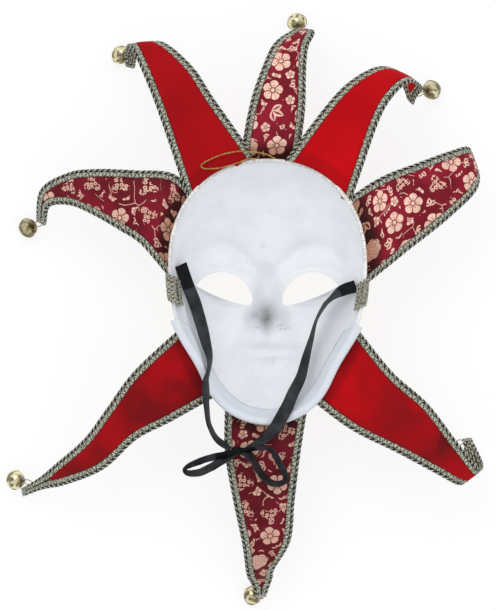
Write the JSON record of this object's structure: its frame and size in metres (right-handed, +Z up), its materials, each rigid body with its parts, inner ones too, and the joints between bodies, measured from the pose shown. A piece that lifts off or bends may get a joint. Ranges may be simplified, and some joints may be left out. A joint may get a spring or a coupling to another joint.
{
  "type": "venetian mask",
  "caption": "Full-face papier-mache carnival mask lying face down, with curled velvet and brocade points, braid edges, brass jingle bells and satin tie ribbons.",
  "frame": {"origin": "on the surface the mask lies on, under the middle of its outline", "axes": "+Z up out of the hollow, +Y towards the forehead, +X to the right of the open hollow"},
  "size_m": [0.4062, 0.5052, 0.0961],
  "materials": {
    "papier_mache": "matt white paint, faintly mottled",
    "white_band": "matt glued cloth",
    "red_velvet": "short velvet pile",
    "brocade": "crimson satin with a gold floral print",
    "gimp_braid": "silver-gold gimp braid with dark strands",
    "bell_brass": "polished brass, a little dull",
    "eyelet_wire": "thin bright wire",
    "black_satin": "black satin ribbon",
    "gold_cord": "thin gold metallic cord"
  },
  "bodies": {
    "root": {"mask_shell": "papier_mache", "jaw_band": "white_band", "face_braid": "gimp_braid", "point_upper_left": "red_velvet", "braid_upper_left": "gimp_braid", "bell_upper_left": "bell_brass", "bell_wire_upper_left": "eyelet_wire", "point_top": "brocade", "braid_top": "gimp_braid", "bell_top": "bell_brass", "bell_wire_top": "eyelet_wire", "point_upper_right": "red_velvet", "braid_upper_right": "gimp_braid", "bell_upper_right": "bell_brass", "bell_wire_upper_right": "eyelet_wire", "point_right": "brocade", "braid_right": "gimp_braid", "bell_right": "bell_brass", "bell_wire_right": "eyelet_wire", "point_lower_right": "red_velvet", "braid_lower_right": "gimp_braid", "bell_lower_right": "bell_brass", "bell_wire_lower_right": "eyelet_wire", "point_bottom": "brocade", "braid_bottom": "gimp_braid", "bell_bottom": "bell_brass", "bell_wire_bottom": "eyelet_wire", "point_lower_left": "red_velvet", "braid_lower_left": "gimp_braid", "bell_lower_left": "bell_brass", "bell_wire_lower_left": "eyelet_wire", "point_left": "brocade", "braid_left": "gimp_braid", "bell_left": "bell_brass", "bell_wire_left": "eyelet_wire", "ribbon_left": "black_satin", "ribbon_right": "black_satin", "bow": "black_satin", "hanging_loop": "gold_cord"}
  },
  "joints": []
}
